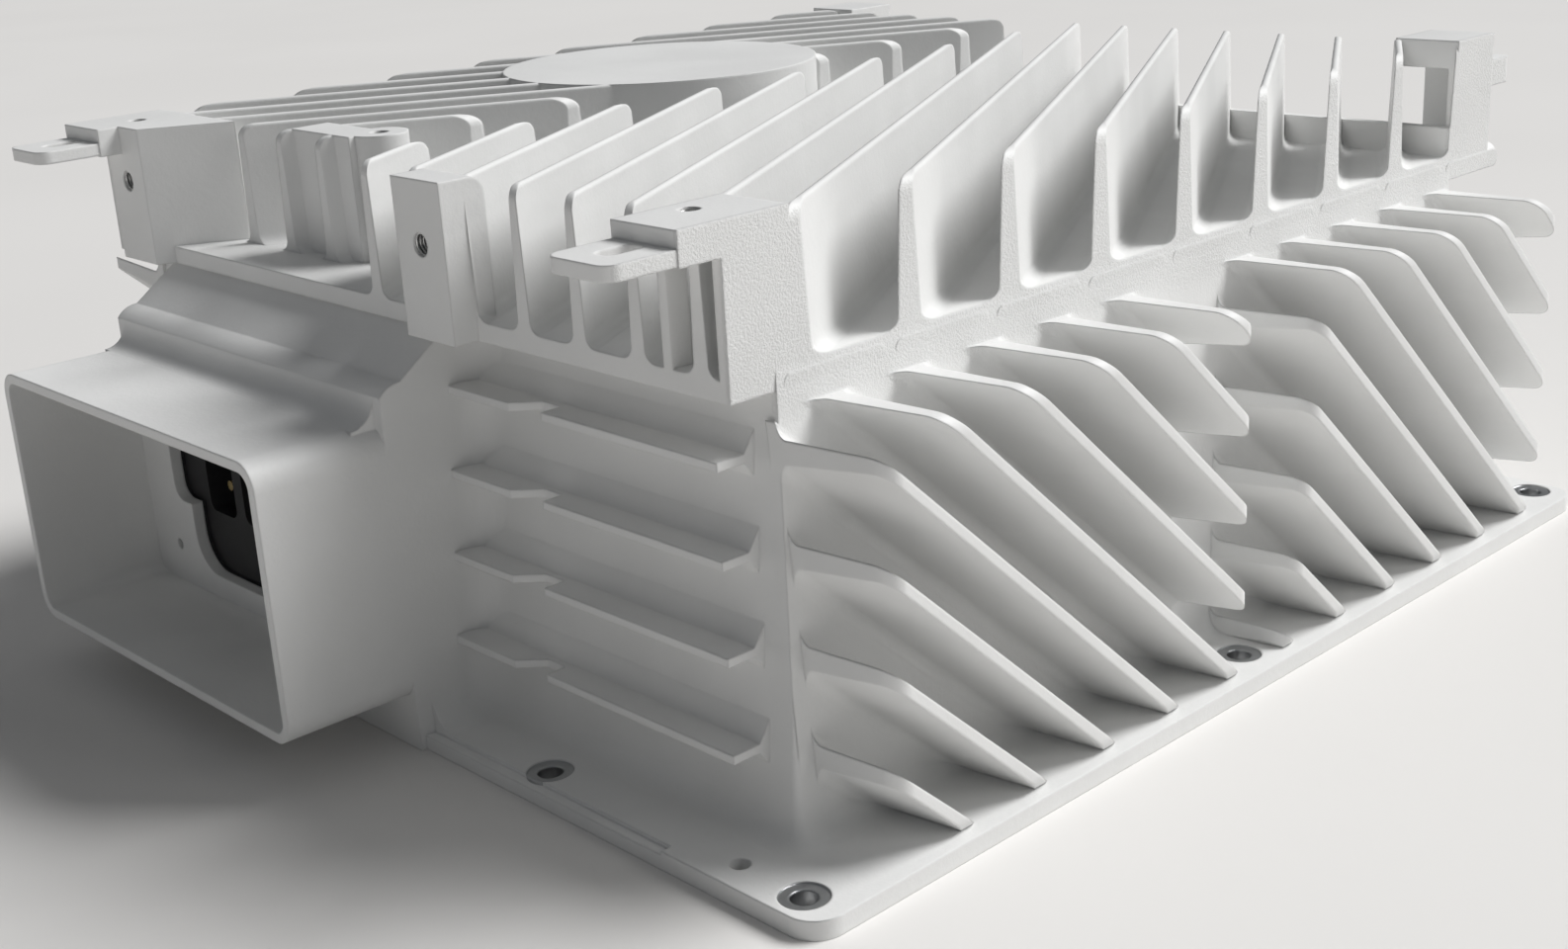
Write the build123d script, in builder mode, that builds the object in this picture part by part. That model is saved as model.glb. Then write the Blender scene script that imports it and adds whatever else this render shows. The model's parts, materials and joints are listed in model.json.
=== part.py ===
from build123d import *
import math
import os

os.makedirs("parts", exist_ok=True)

# Micro inverter: finned die-cast housing with its cover, connector insert and power electronics.
# Frame: origin at the centre of the flange's underside, +Z up through the top fins,
# -Y towards the connector hood, +X towards the side with the slanted fins. Millimetres.

# ---- flange and body ----
flange_width = 352.0
flange_length = 346.0
flange_thickness = 5.0
flange_corner = 8.0
side_inset = 27.0
front_inset = 22.0
rear_inset = 18.0
draft = 5.0
wall = 3.5
roof = 7.0
deck_top = 114.0
band_height = 5.0
front_band_inset = 18.0
rear_band_inset = 2.0
body_corner = 3.0
foot_radius = 6.0
rim_step_depth = 1.0
rim_step_width = 3.0
corner_pad_length = 50.0

# ---- top fins ----
overall_height = 149.0
chevron_x = -24.2
chevron_gap = 24.4
chevron_angle = 30.5
fin_pitch_top = 35.5
fin_tip = 2.2
fin_draft = 1.6
fin_root = 3.0
fin_seat = 0.05
fin_first_inset = 47.3
fin_corner = 4.0
fin_rows = 16
fin_rear_inset = 24.0

# ---- side fins ----
side_fin_top = 105.0
side_fin_edge_inset = 2.6
side_fin_angle = 42.0
side_fin_pitch = 26.4
side_fin_tip = 2.3
side_fin_first = 51.5
side_fin_count = 15
side_fin_draft = 1.6
side_fin_corner = 5.0
channel_near = 165.0
channel_far = 181.0
channel_lean = 7.9
fins_near = 29.5
fins_far = 326.0

# ---- end fins ----
end_fin_heights = (27.0, 49.5, 71.5, 93.5)
end_fin_reach = 11.0
rear_fin_reach = 7.5
rear_fin_half = 130.0
end_fin_tip = 2.2
screw_notch_depth = 6.0
notch_near_x = 70.0
notch_far_x = 63.0
notch_ramp = 6.0
end_fin_near = 141.0
end_fin_far = 30.0

# ---- pads along the deck's right edge ----
pad_height = 109.6
pad_rise = 5.4
pad_depth = 0.4
pad_gap = 3.0
pad_count = 9

# ---- fixing holes ----
hole_inset_x = 11.5
hole_inset_y = 8.0
fixing_radius = 3.25
spotface_radius = 6.0
spotface_depth = 0.5
front_hole_spacing = 90.0
earth_hole_radius = 2.5
earth_hole_offset = 20.5

# ---- posts and lugs ----
post_width = 20.0
post_depth = 13.0
post_front_inset = 11.0
post_radius = 4.0
thread_radius = 3.0
thread_depth = 12.0
thread_height = 133.0
left_post_x = -117.0
left_post_inset = 13.0
left_post_depth = 24.0
right_post_x = 38.5
plate_width = 21.2
plate_thickness = 8.0
plate_front_inset = 6.5
lug_length = 18.5
lug_thickness = 3.6
lug_corner = 4.0
slot_width = 6.0
slot_length = 11.0
web = 3.0
top_hole_radius = 2.5
top_hole_inset = 14.4
slot_inset = 11.8

# ---- hood and its opening ----
hood_centre = -37.8
hood_width = 139.0
hood_bottom = 14.4
hood_top = 88.5
hood_reach = 38.2
hood_wall = 2.8
hood_corner = 7.0
cove_radius = 9.0
hood_cove_radius = 7.0
bay_face = 1.5
bay_wall = 3.5
pocket_bottom = 9.0
pocket_top = 88.0
ridge_low = 96.0
ridge_high = 99.0
ridge_setback = 6.5
ridge_radius = 8.0
opening_width = 82.0
opening_bottom = 24.0
opening_top = 76.0
opening_shoulder_width = 100.0
opening_shoulder_bottom = 44.0
opening_shoulder_top = 70.0
opening_corner = 11.0
opening_shoulder_corner = 5.0
insert_screw_spacing = 104.4
insert_screw_height = 29.0
insert_screw_radius = 1.6

# ---- disc pad ----
disc_x = -72.0
disc_y = 10.0
disc_radius = 52.0

# ---- near and far corner pieces ----
corner_skin = 3.0
far_plate_length = 22.0
far_plate_inset = 2.0
plate_rear_inset = 38.0
plate_hole_inset = 22.6
far_lug_low = 132.5
far_lug_thick = 8.0
far_lug_length = 13.0
far_slot_inset = 7.0
far_slot_length = 8.0
nub_radius = 4.0
middle_boss_radius = 8.0
middle_boss_inset = 48.0
boss_wall_inset = 38.0
boss_wall_length = 30.0
boss_wall_depth = 12.0
left_fins_inset = 34.5
middle_boss_depth = 10.0
rear_rib_height = 9.0

# ---- cavity, cover and seal ----
cover_thickness = 2.5
cover_ring = 6.5
cover_gap = 0.4
gasket_width = 3.0
gasket_thickness = 1.0
room_corner = 6.0
cover_corner = 7.0
gasket_inner_corner = 5.0
cover_boss_radius = 5.5
cover_boss_top = 16.0
cover_screw_head = 4.0
cover_screw_length = 10.0
vent_radius = 1.5
membrane_radius = 7.0

# ---- boards ----
board_side_gap = 15.0
board_end_gap = 19.0
board_thickness = 1.6
board_top = 45.0
board_shift = 1.0
pillar_radius = 5.0
pillar_inset = 12.0
m4_radius = 2.0
m3_radius = 1.5

# ---- connector insert ----
carrier_width = 116.0
carrier_height = 66.0
carrier_z = 50.0
carrier_thickness = 3.0
carrier_depth = 14.0
carrier_screw_inset = 3.5
carrier_bite = 2.5
socket_z = 56.0
socket_count = 4
socket_pitch = 20.0
socket_width = 15.0
socket_height = 28.0
pin_radius = 1.5
pin_rise = 6.0
pin_row_gap = 6.0
pin_foot_inset = 45.0

# ---- parts on the main board ----
core_width = 64.0
core_depth = 40.0
core_bottom = 50.0
core_height = 54.0
leg_width = 20.0
window_width = 14.0
window_height = 34.0
transformer_places = [(-70, -60), (-70, 50)]
choke_outer = 22.0
choke_inner = 12.0
choke_height = 16.0
choke_wire = 2.0
choke_turns = 18
winding_gap = 0.05
choke_places = [(27, -75), (27, -18), (27, 62)]
bulk_radius = 15.0
bulk_height = 45.0
bulk_inset = 29.0
film_width = 12.0
film_length = 30.0
film_height = 26.0
film_places = [(82, -70), (82, -25), (82, 20), (82, 65)]
relay_width = 13.0
relay_length = 20.0
relay_height = 18.0
relay_places = [(-118, -88), (-118, -62), (-118, -36)]
varistor_radius = 8.0
varistor_places = [(-116, 36), (-116, 52), (-116, 68)]
fuse_length = 24.0
fuse_radius = 3.0
fuse_inset = 23.0
sensor_places = [(118, -60), (118, 60)]
terminal_width = 44.0
front_terminal_inset = 15.0
rear_terminal_inset = 17.0

# ---- power stage ----
rail_places = (60.0, 96.0)
rail_width = 8.0
rail_length = 200.0
rail_bottom = 58.0
pad_thickness = 0.5
transistor_z = 75.0
transistor_width = 16.0
transistor_height = 21.0
transistor_thickness = 5.0
transistor_pitch = 32.0
transistor_count = 6
clamp_width = 10.0
clamp_thickness = 2.0
clamp_screw_bite = 6.0

# ---- control board ----
control_width = 99.0
control_length = 76.0
control_x = -63.5
control_y = -42.0
control_standoff = 14.0
control_inset = 6.0
chip_places = [(0, 0, 14), (-28, 8, 9), (-25, -18, 7), (20, 15, 8)]
vent_y = 60.0

# ---- worked-out places ----
half_x = flange_width / 2
half_y = flange_length / 2
slope = math.tan(math.radians(draft))
side_x = half_x - side_inset - slope * (deck_top - flange_thickness)
front_y = -half_y + front_inset
rear_y = half_y - rear_inset
band_y = -half_y + front_band_inset
rear_band_y = half_y - rear_band_inset
deck_bottom = deck_top - band_height
roof_z = deck_top - roof
post_y = -half_y + post_front_inset
bay_y = -half_y - bay_face
ridge_y = bay_y + ridge_setback
hood_y = -half_y - hood_reach
fin_reach = overall_height - deck_top
post_front_y = -half_y + plate_front_inset
plate_rear_y = plate_rear_inset - half_y
plate_hole_y = plate_hole_inset - half_y
far_plate_rear = half_y - far_plate_inset
far_plate_front = far_plate_rear - far_plate_length
fin_first_inner_y = fin_first_inset - half_y
left_fins_front = left_fins_inset - half_y
left_post_y = left_post_inset - half_y
middle_boss_y = middle_boss_inset - half_y
boss_wall_front = boss_wall_inset - half_y
plate_hole_x = side_x - top_hole_inset
middle_boss_x = chevron_x - 8.8
cover_width = 2 * (half_x - side_inset - wall + cover_ring + 2)
cover_length = rear_y - front_y - 2 * wall + 2 * cover_ring
cover_y = (front_y + rear_y) / 2
gasket_outer_x = cover_width - 4
gasket_outer_y = cover_length - 3
gasket_inner_x = gasket_outer_x - 2 * gasket_width
gasket_inner_y = gasket_outer_y - 2 * gasket_width
flange_corner_x = half_x - hole_inset_x
flange_corner_y = half_y - hole_inset_y
fin_rear_y = half_y - fin_rear_inset
fins_near_y = fins_near - half_y
fins_far_y = fins_far - half_y
channel_near_y = channel_near - half_y
channel_far_y = channel_far - half_y
board_width = 2 * (half_x - side_inset - board_side_gap)
board_length = rear_y - front_y - 2 * board_end_gap
board_y = cover_y + board_shift
board_front = board_y - board_length / 2
board_rear = board_y + board_length / 2
pillar_x = board_width / 2 - pillar_inset
pillar_y = board_length / 2 - pillar_inset
pin_foot_y = pin_foot_inset - half_y
bulk_places = [(x, board_rear - bulk_inset) for x in (-95, -62, -29, 30)]
fuse_places = [(-80, board_front + fuse_inset), (16, board_front + fuse_inset + 2)]
terminal_places = [(60, board_front + front_terminal_inset), (75, board_rear - rear_terminal_inset)]
carrier_y = bay_y + bay_wall + gasket_thickness
carrier_hole_x = carrier_width - 2 * carrier_screw_inset
carrier_hole_z = carrier_height - 2 * carrier_screw_inset
window_x = (leg_width + window_width) / 2
control_top = board_top - board_thickness - control_standoff
clamp_places = [(k - transistor_count / 2 + 1) * transistor_pitch for k in range(transistor_count - 1)]
socket_places = [(k - (socket_count - 1) / 2) * socket_pitch for k in range(socket_count)]
control_half_x = control_width / 2 - control_inset
control_half_y = control_length / 2 - control_inset
control_places = [
    (control_x + x * control_half_x, control_y + y * control_half_y)
    for x in (-1, 1)
    for y in (-1, 1)
]
flange_holes = [
    (-flange_corner_x, -flange_corner_y),
    (flange_corner_x - front_hole_spacing, -flange_corner_y),
    (flange_corner_x, -flange_corner_y),
    (-flange_corner_x, 0),
    (flange_corner_x, 0),
    (-flange_corner_x, flange_corner_y),
    (front_hole_spacing - flange_corner_x, flange_corner_y),
    (flange_corner_x - front_hole_spacing, flange_corner_y),
    (flange_corner_x, flange_corner_y),
]
pillar_places = [(x, board_y + y) for x in (-pillar_x, 0, pillar_x) for y in (-pillar_y, 0, pillar_y)]
cover_side_x = half_x - side_inset - wall - cover_boss_radius + 1
cover_front_y = front_y + wall + cover_boss_radius - 1
cover_rear_y = rear_y - wall - cover_boss_radius + 1
cover_screw_places = [(x, y) for x in (-cover_side_x, cover_side_x) for y in (-90, 0, 90)]
cover_end_y = (cover_front_y, cover_rear_y)
cover_screw_places += [(x, y) for x in (-cover_side_x, 0, cover_side_x) for y in cover_end_y]


def wall_y(height):
    """Y of the front wall's face at a height."""
    return front_y + slope * (height - flange_thickness)


def rear_wall_y(height):
    """Y of the rear wall's face at a height."""
    return rear_y - slope * (height - flange_thickness)


def fin_section(reach, tip, angle, root, sunk):
    """Cross-section of a cast fin standing on X: coved root, drafted flanks, rounded tip."""
    lean = math.tan(math.radians(angle))
    foot = tip / 2 + lean * (reach - root)
    crown = 0.4 * tip
    with BuildSketch(mode=Mode.PRIVATE) as section:
        with BuildLine():
            flank_low = (foot, root + fin_seat)
            flank_high = (tip / 2, reach - crown)
            Line((0, reach), (tip / 2 - crown, reach))
            RadiusArc((tip / 2 - crown, reach), flank_high, crown)
            Line(flank_high, flank_low)
            RadiusArc(flank_low, (foot + root, fin_seat), -root)
            Line((foot + root, fin_seat), (foot + root, -sunk))
            Line((foot + root, -sunk), (0, -sunk))
            Line((0, -sunk), (0, reach))
        make_face()
        mirror(about=Plane.YZ)
    return section.sketch


def fin_bar(start, direction, outward, length, section):
    """A fin's section carried along its direction, standing up along outward."""
    across = outward.cross(direction)
    with BuildPart(mode=Mode.PRIVATE) as bar:
        with BuildSketch(Plane(origin=start, x_dir=across, z_dir=direction)):
            add(section)
        extrude(amount=length)
    return bar.part


def top_fins(side):
    """One half of the chevron field: every fin runs rearwards to the middle channel."""
    low = chevron_x + chevron_gap / 2
    high = side_x
    front = band_y
    if side < 0:
        low = -side_x
        high = chevron_x - chevron_gap / 2
        front = left_fins_front
    with BuildPart(mode=Mode.PRIVATE) as zone:
        with BuildSketch(Plane.XY.offset(deck_top - 1)):
            with Locations(((low + high) / 2, (front + fin_rear_y) / 2)):
                Rectangle(high - low, fin_rear_y - front)
        extrude(amount=fin_reach + 1)
        fillet(zone.faces().sort_by(Axis.Z)[-1].edges(), fin_corner)
    angle = math.radians(chevron_angle)
    inward = Vector(-side * math.sin(angle), math.cos(angle), 0)
    section = fin_section(fin_reach, fin_tip, fin_draft, fin_root, 1.0)
    inner_x = low if side > 0 else high
    run = 1.1 * (high - low) / math.sin(angle)
    with BuildPart(mode=Mode.PRIVATE) as field:
        for row in range(fin_rows):
            inner = Vector(inner_x, fin_first_inner_y + row * fin_pitch_top, deck_top)
            start = inner - inward * run
            add(fin_bar(start, inward, Vector(0, 0, 1), run + fin_corner, section))
        add(zone.part, mode=Mode.INTERSECT)
    return field.part


def side_fins():
    """Slanted fins of the right wall, in two groups either side of a driver channel."""
    angle = math.radians(side_fin_angle)
    down = Vector(slope * math.sin(angle), math.cos(angle), -math.sin(angle)).normalized()
    outward = Vector(math.cos(math.radians(draft)), 0, math.sin(math.radians(draft)))
    reach = side_inset + slope * side_fin_top
    section = fin_section(reach, side_fin_tip, side_fin_draft, fin_root, 3.0)
    with BuildPart(mode=Mode.PRIVATE) as zone:
        with BuildSketch(Plane.YZ.offset(side_x - 8)):
            with BuildLine():
                lean = math.tan(math.radians(channel_lean))
                Polyline(
                    (fins_near_y, flange_thickness - 1),
                    (channel_near_y, flange_thickness - 1),
                    (channel_near_y, side_fin_top),
                    (fins_near_y, side_fin_top),
                    close=True,
                )
            make_face()
            with BuildLine():
                Polyline(
                    (channel_far_y, flange_thickness - 1),
                    (fins_far_y, flange_thickness - 1),
                    (fins_far_y, side_fin_top),
                    (channel_far_y + lean * side_fin_top, side_fin_top),
                    close=True,
                )
            make_face()
        extrude(amount=half_x - side_fin_edge_inset - side_x + 8)
        outer = zone.faces().filter_by(Axis.X).sort_by(Axis.X)[-2:]
        fillet(outer[0].edges() + outer[1].edges(), side_fin_corner)
    with BuildPart(mode=Mode.PRIVATE) as field:
        for row in range(side_fin_count):
            foot = side_fin_first - half_y + row * side_fin_pitch
            run = 1.25 * side_fin_top / math.sin(angle)
            end = Vector(half_x - side_inset, foot, flange_thickness)
            start = end - down * run
            add(fin_bar(start, down, outward, 1.1 * run, section))
        add(zone.part, mode=Mode.INTERSECT)
    return field.part


def side_pads():
    """Shallow raised pads in a row under the right edge of the deck."""
    pitch = fin_pitch_top
    with BuildPart(mode=Mode.PRIVATE) as pads:
        with BuildSketch(Plane.YZ.offset(side_x - 1)):
            with Locations(*[(band_y + 14 + pitch * (k + 0.5), pad_height) for k in range(pad_count)]):
                RectangleRounded(pitch - pad_gap, pad_rise, pad_rise / 2 - 0.2)
        extrude(amount=1 + pad_depth)
    return pads.part


def end_fin(height, reach, near_x, far_x, notched):
    """One horizontal fin of an end wall, with the clearance notch for a screwdriver."""
    root_y = 6.0
    with BuildPart(mode=Mode.PRIVATE) as fin:
        with BuildSketch(Plane.XY.offset(height - end_fin_tip / 2)):
            with BuildLine():
                outer = -reach
                inner = -reach + screw_notch_depth
                if notched:
                    Polyline(
                        (far_x, root_y),
                        (far_x, outer),
                        (notch_far_x - notch_ramp, outer),
                        (notch_far_x, inner),
                        (notch_near_x, inner),
                        (notch_near_x, outer),
                        (near_x, outer),
                        (near_x, root_y),
                        close=True,
                    )
                else:
                    Polyline((far_x, root_y), (far_x, outer), (near_x, outer), (near_x, root_y), close=True)
            make_face()
        extrude(amount=end_fin_tip)
        with BuildSketch(Plane.YZ.offset(far_x)):
            with BuildLine():
                thick = end_fin_tip / 2
                Polyline(
                    (root_y, height - thick - 5),
                    (0.5, height - thick - 5),
                    (-1.5, height - thick - 2),
                    (-3.0, height - thick),
                    (-3.0, height + thick),
                    (-1.5, height + thick + 2),
                    (0.5, height + thick + 5),
                    (root_y, height + thick + 5),
                    close=True,
                )
            make_face()
        extrude(amount=near_x - far_x)
    return fin.part


def bay():
    """Thickened front that carries the hood, with its top sloped back to the deck's band."""
    low = hood_centre - hood_width / 2
    back = front_y + 12
    with BuildPart(mode=Mode.PRIVATE) as block:
        with BuildSketch(Plane.YZ.offset(low)):
            with BuildLine():
                Line((back, deck_bottom), (back, 0))
                Line((back, 0), (bay_y, 0))
                Line((bay_y, 0), (bay_y, ridge_low))
                RadiusArc((bay_y, ridge_low), (ridge_y, ridge_high), ridge_radius)
                Line((ridge_y, ridge_high), (band_y + 1, deck_bottom))
                Line((band_y + 1, deck_bottom), (back, deck_bottom))
            make_face()
        extrude(amount=hood_width)
    return block.part


def hood_cove():
    """Concave strip between the hood's top and the bay's face."""
    low = hood_centre - hood_width / 2 + hood_corner / 2
    with BuildPart(mode=Mode.PRIVATE) as strip:
        with BuildSketch(Plane.YZ.offset(low)):
            with BuildLine():
                Line((bay_y + 1, hood_top - 1), (bay_y - hood_cove_radius, hood_top - 1))
                Line((bay_y - hood_cove_radius, hood_top - 1), (bay_y - hood_cove_radius, hood_top))
                cove_end = (bay_y, hood_top + hood_cove_radius)
                RadiusArc((bay_y - hood_cove_radius, hood_top), cove_end, -hood_cove_radius)
                Line(cove_end, (bay_y + 1, hood_top + hood_cove_radius))
                Line((bay_y + 1, hood_top + hood_cove_radius), (bay_y + 1, hood_top - 1))
            make_face()
        extrude(amount=hood_width - hood_corner)
    return strip.part


def slanted_post(x, depth):
    """Tapped post whose inner side follows the direction of the fins behind it."""
    shift = depth * math.tan(math.radians(chevron_angle))
    with BuildPart(mode=Mode.PRIVATE) as pillar:
        with BuildSketch(Plane.XY.offset(deck_bottom)):
            with BuildLine():
                Polyline(
                    (x - post_width / 2, left_post_y),
                    (x + post_width / 2, left_post_y),
                    (x + post_width / 2 + shift, left_post_y + depth),
                    (x - post_width / 2, left_post_y + depth),
                    close=True,
                )
            make_face()
        extrude(amount=overall_height - deck_bottom)
    return pillar.part


def wall_fin(height, front):
    """An end fin moved out to the drafted face of its wall."""
    if front:
        place = Location((0, wall_y(height), 0))
        return place * end_fin(height, end_fin_reach, end_fin_near - slope * height, end_fin_far, True)
    place = Location((0, rear_wall_y(height), 0), (0, 0, 180))
    return place * end_fin(height, rear_fin_reach, rear_fin_half, -rear_fin_half, False)


def lug(slot_x, tip_y, root_y, low, thick, inset, length):
    """Flat fixing ear with rounded end corners and a slot that runs along Y."""
    direction = 1 if tip_y > root_y else -1
    with BuildPart(mode=Mode.PRIVATE) as ear:
        with BuildSketch(Plane.XY.offset(low)):
            with Locations((slot_x, (tip_y + root_y) / 2)):
                Rectangle(plate_width - 0.6, abs(tip_y - root_y))
        extrude(amount=thick)
        tips = ear.edges().filter_by(Axis.Z).sort_by(Axis.Y)
        ends = tips[-2:] if direction > 0 else tips[:2]
        fillet(ends, lug_corner)
        with BuildSketch(Plane.XY.offset(low)):
            with Locations((slot_x, tip_y - direction * inset)):
                SlotOverall(length, slot_width, rotation=90)
        extrude(amount=thick, mode=Mode.SUBTRACT)
    return ear.part


def corner_plate(side):
    """Front corner: rough outer skin, raised top plate on a web, and the slotted ear below it."""
    outer = side * side_x
    inner = side * (side_x - plate_width)
    middle = (outer + inner) / 2
    skin_mid = side * (side_x - corner_skin / 2)
    front = post_front_y
    with BuildPart(mode=Mode.PRIVATE) as corner:
        with BuildSketch(Plane.XY.offset(overall_height - plate_thickness)):
            with Locations((middle, (front + plate_rear_y) / 2)):
                Rectangle(plate_width, plate_rear_y - front)
        extrude(amount=plate_thickness)
        with BuildSketch(Plane.XY.offset(deck_bottom)):
            with Locations((skin_mid, (band_y + plate_rear_y) / 2)):
                Rectangle(corner_skin, plate_rear_y - band_y)
        extrude(amount=overall_height - deck_bottom - 1)
        with BuildSketch(Plane.XY.offset(deck_top - 1)):
            with Locations((inner + side * web / 2, band_y + web)):
                Rectangle(web, 2 * web)
        extrude(amount=overall_height - deck_top)
        low = overall_height - plate_thickness + 0.4
        add(lug(middle, front - lug_length, front + 2, low, lug_thickness, slot_inset, slot_length))
    return corner.part


def post(x, depth):
    """Square tapped post standing on the deck's front edge."""
    with BuildPart(mode=Mode.PRIVATE) as pillar:
        with BuildSketch(Plane.XY.offset(deck_bottom)):
            with Locations((x, post_y + depth / 2)):
                Rectangle(post_width, depth)
        extrude(amount=overall_height - deck_bottom)
        back_top = pillar.edges().filter_by(Axis.X).group_by(Axis.Z)[-1].sort_by(Axis.Y)[-1]
        fillet(back_top, post_radius)
    return pillar.part


def hood():
    """Rectangular tube round the connector opening."""
    middle = (hood_bottom + hood_top) / 2
    tall = hood_top - hood_bottom
    with BuildPart(mode=Mode.PRIVATE) as tube:
        with BuildSketch(Plane.XZ.offset(-hood_y)):
            with Locations((hood_centre, middle)):
                RectangleRounded(hood_width, tall, hood_corner)
        extrude(amount=-(bay_y - hood_y + 1))
        with BuildSketch(Plane.XZ.offset(-hood_y)):
            with Locations((hood_centre, middle)):
                RectangleRounded(hood_width - 2 * hood_wall, tall - 2 * hood_wall, hood_corner - hood_wall)
        extrude(amount=-(bay_y - hood_y), mode=Mode.SUBTRACT)
    return tube.part


def connector_opening():
    """Stepped opening in the bay's face, as a solid to cut with."""
    with BuildPart(mode=Mode.PRIVATE) as cut:
        with BuildSketch(Plane.XZ.offset(-bay_y)):
            with Locations((hood_centre, (opening_bottom + opening_top) / 2)):
                RectangleRounded(opening_width, opening_top - opening_bottom, opening_corner)
            with Locations((hood_centre, (opening_shoulder_bottom + opening_shoulder_top) / 2)):
                shoulder_tall = opening_shoulder_top - opening_shoulder_bottom
                RectangleRounded(opening_shoulder_width, shoulder_tall, opening_shoulder_corner)
        extrude(amount=-bay_wall)
    return cut.part


def tapered_block(x_half, y_low, y_high, bottom, top, corner):
    """Upright block whose four walls lean in by the casting draft."""
    with BuildPart(mode=Mode.PRIVATE) as block:
        with BuildSketch(Plane.XY.offset(bottom)):
            with Locations((0, (y_low + y_high) / 2)):
                RectangleRounded(2 * x_half, y_high - y_low, corner)
        extrude(amount=top - bottom, taper=draft)
    return block.part


def cavity():
    """Space for the electronics: main room, a pocket in the bay and the cover's recess."""
    base_x = half_x - side_inset - wall
    low = front_y + wall
    high = rear_y - wall
    with BuildPart(mode=Mode.PRIVATE) as room:
        add(tapered_block(base_x, low, high, flange_thickness, roof_z, room_corner))
        with BuildSketch():
            with Locations((0, (low + high) / 2)):
                RectangleRounded(2 * base_x, high - low, room_corner)
        extrude(amount=flange_thickness)
        front = bay_y + bay_wall
        back = low + slope * pocket_top
        with BuildSketch(Plane.XY.offset(pocket_bottom)):
            with Locations((hood_centre, (front + back) / 2)):
                Rectangle(hood_width - 2 * wall, back - front)
        extrude(amount=pocket_top - pocket_bottom)
        with BuildSketch():
            with Locations((0, cover_y)):
                RectangleRounded(cover_width + 2 * cover_gap, cover_length + 2 * cover_gap, cover_corner)
        extrude(amount=cover_thickness)
        with BuildSketch(Plane.XY.offset(cover_thickness)):
            with Locations((0, cover_y)):
                RectangleRounded(gasket_outer_x, gasket_outer_y, cover_corner)
                RectangleRounded(gasket_inner_x, gasket_inner_y, gasket_inner_corner, mode=Mode.SUBTRACT)
        extrude(amount=gasket_thickness)
    return room.part


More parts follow.
